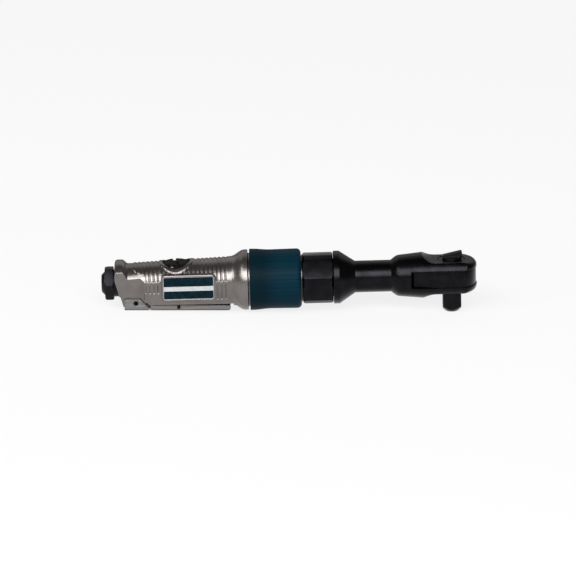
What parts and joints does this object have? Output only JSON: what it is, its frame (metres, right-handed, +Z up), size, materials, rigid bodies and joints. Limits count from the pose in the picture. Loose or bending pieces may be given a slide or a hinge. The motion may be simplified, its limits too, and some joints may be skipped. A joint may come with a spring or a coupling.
{
  "type": "air ratchet",
  "caption": "Pneumatic ratchet wrench: ribbed cast handle with throttle lever and regulator, rubber sleeve, coupling nut, slim necked head with reversing half inch square drive.",
  "frame": {"origin": "centre of the mouth of the air inlet, on the tool's long axis", "axes": "+X along the tool from the inlet to the head, +Z up out of the head's flat, square drive along -Z"},
  "size_m": [0.2593, 0.0424, 0.047],
  "materials": {
    "cast_aluminium": "satin, bead blasted casting",
    "label": "plain printed plate",
    "sleeve_rubber": "moulded, satin",
    "black_steel": "black oxide",
    "lever_steel": "stamped and plated",
    "bright_steel": "ground",
    "seal_rubber": "matte",
    "valve_brass": "turned",
    "black_plastic": "moulded",
    "motor_iron": "ground",
    "vane_laminate": "fabric laminate"
  },
  "bodies": {
    "housing": {"handle_housing": "cast_aluminium", "label_plate": "label", "exhaust_sleeve": "sleeve_rubber", "coupling_nut": "black_steel", "captive_ring": "bright_steel", "ratchet_head": "black_steel", "inlet_bushing": "black_steel", "inlet_seal": "seal_rubber", "inlet_screen": "bright_steel", "lever_pin": "black_steel", "valve_seat": "valve_brass", "valve_guide": "valve_brass", "valve_spring": "bright_steel", "regulator_clip": "bright_steel", "rear_end_plate": "motor_iron", "motor_liner": "motor_iron", "front_end_plate": "motor_iron", "liner_dowel": "bright_steel", "rear_bearing_outer": "bright_steel", "front_bearing_outer": "bright_steel", "ring_gear": "bright_steel", "crank_rear_bearing": "valve_brass", "crank_front_bearing": "valve_brass", "thrust_washer": "valve_brass", "anvil_retainer": "black_steel"},
    "lever": {"throttle_lever": "lever_steel"},
    "valve": {"valve_stem": "bright_steel", "valve_poppet": "seal_rubber"},
    "regulator": {"regulator_dial": "black_plastic", "regulator_seal": "seal_rubber"},
    "crank": {"crankshaft": "bright_steel", "planet_pins": "bright_steel", "crank_bush": "bright_steel"},
    "planet_1": {"planet_gear_1": "bright_steel"},
    "planet_2": {"planet_gear_2": "bright_steel"},
    "planet_3": {"planet_gear_3": "bright_steel"},
    "rotor_body": {"rotor": "bright_steel", "rotor_vanes": "vane_laminate", "rear_bearing_inner": "bright_steel", "front_bearing_inner": "bright_steel"},
    "ball_sets": {"rear_bearing_balls": "bright_steel", "front_bearing_balls": "bright_steel"},
    "yoke": {"ratchet_yoke": "black_steel"},
    "drive": {"anvil": "black_steel", "pawl_pin": "bright_steel", "detent_spring": "bright_steel"},
    "pawl_body": {"pawl": "bright_steel"},
    "reverser": {"reverse_lever": "black_steel", "reverse_plunger": "bright_steel", "plunger_spring": "bright_steel"},
    "ball": {"drive_ball": "bright_steel"}
  },
  "joints": [
    {"name": "throttle_press", "type": "hinge", "parent": "housing", "child": "lever", "pos_m": [0.0234, 0, -0.0127], "axis": [0, -1, 0], "range_deg": [0, 2.7], "stiffness_Nm_per_rad": 6, "springref_deg": -5.73},
    {"name": "valve_lift", "type": "slide", "parent": "housing", "child": "valve", "axis": [0, 0, 1], "range_m": [0, 0.00135], "deforming": ["valve_spring"]},
    {"name": "regulator_turn", "type": "hinge", "parent": "housing", "child": "regulator", "pos_m": [0.052, 0, 0], "axis": [0, 0, 1], "range_deg": [0, 90]},
    {"name": "crank_turn", "type": "hinge", "parent": "housing", "child": "crank", "pos_m": [0.1118, 0, 0], "axis": [1, 0, 0], "continuous": true},
    {"name": "rotor_spin", "type": "hinge", "parent": "housing", "child": "rotor_body", "pos_m": [0.1118, 0, 0], "axis": [1, 0, 0], "continuous": true},
    {"name": "ball_roll", "type": "hinge", "parent": "housing", "child": "ball_sets", "pos_m": [0.1118, 0, 0], "axis": [1, 0, 0], "continuous": true},
    {"name": "planet_1_spin", "type": "hinge", "parent": "crank", "child": "planet_1", "pos_m": [0.1118, 0, 0.00675], "axis": [1, 0, 0], "continuous": true},
    {"name": "planet_2_spin", "type": "hinge", "parent": "crank", "child": "planet_2", "pos_m": [0.1118, -0.00585, -0.00337], "axis": [1, 0, 0], "continuous": true},
    {"name": "planet_3_spin", "type": "hinge", "parent": "crank", "child": "planet_3", "pos_m": [0.1118, 0.00585, -0.00337], "axis": [1, 0, 0], "continuous": true},
    {"name": "yoke_swing", "type": "hinge", "parent": "housing", "child": "yoke", "pos_m": [0.2418, 0, 0], "axis": [0, 0, 1], "range_deg": [-3.78, 3.78]},
    {"name": "drive_turn", "type": "hinge", "parent": "yoke", "child": "drive", "pos_m": [0.2418, 0, 0], "axis": [0, 0, 1], "continuous": true},
    {"name": "reverse_flip", "type": "hinge", "parent": "drive", "child": "reverser", "pos_m": [0.2418, 0, 0.0111], "axis": [0, 0, 1], "range_deg": [-35, 35]},
    {"name": "pawl_rock", "type": "hinge", "parent": "drive", "child": "pawl_body", "pos_m": [0.25, 0, 0], "axis": [0, 0, 1], "range_deg": [-10, 10]},
    {"name": "ball_press", "type": "slide", "parent": "drive", "child": "ball", "axis": [0, 1, 0], "range_m": [-0.0009, 0], "stiffness_N_per_m": 400, "springref_m": 0.0005, "deforming": ["detent_spring"]}
  ],
  "couplings": [
    {"joint": "valve_lift", "follows": "throttle_press", "m_per_rad": 0.0286},
    {"joint": "rotor_spin", "follows": "crank_turn", "ratio": 4.5},
    {"joint": "ball_roll", "follows": "crank_turn", "ratio": 1.7517},
    {"joint": "planet_1_spin", "follows": "crank_turn", "ratio": -2.8},
    {"joint": "planet_2_spin", "follows": "crank_turn", "ratio": -2.8},
    {"joint": "planet_3_spin", "follows": "crank_turn", "ratio": -2.8},
    {"joint": "pawl_rock", "follows": "reverse_flip", "ratio": -0.28571}
  ]
}
